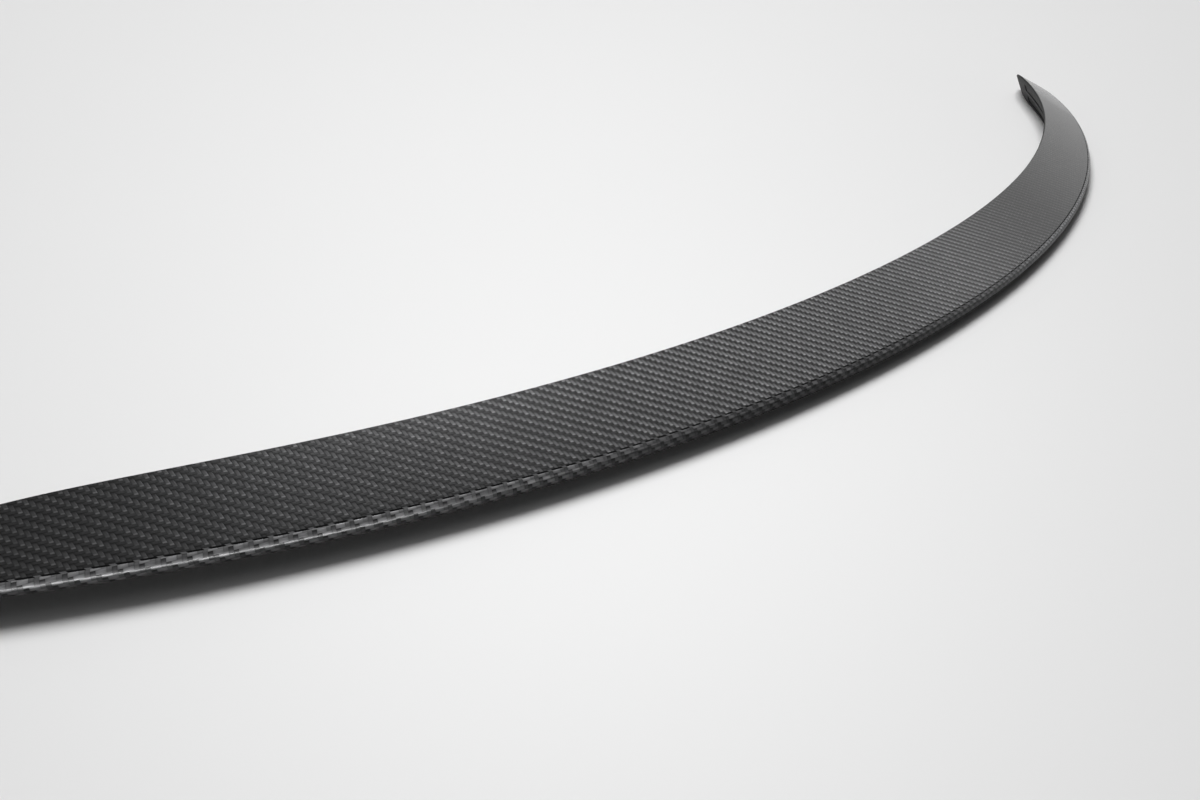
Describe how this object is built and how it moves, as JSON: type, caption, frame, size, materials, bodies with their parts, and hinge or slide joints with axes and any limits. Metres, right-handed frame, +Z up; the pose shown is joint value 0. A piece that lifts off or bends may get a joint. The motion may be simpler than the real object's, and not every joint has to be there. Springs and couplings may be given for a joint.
{
  "type": "car rear spoiler",
  "caption": "Crescent boot-lid lip spoiler in glossy twill carbon, with a rounded trailing nose, a deep undercut, a thin leading edge and pointed tips; bonds along a boot lid.",
  "frame": {"origin": "on the flat foot under the keel, on the plane of symmetry", "axes": "+X across the car from tip to tip, +Y towards the thin leading edge and the front of the car, +Z up as the part lies on its foot"},
  "size_m": [1.2126, 0.2125, 0.0305],
  "materials": {
    "carbon": "twill carbon cloth under a smooth clear coat"
  },
  "bodies": {
    "root": {"spoiler": "carbon"}
  },
  "joints": []
}
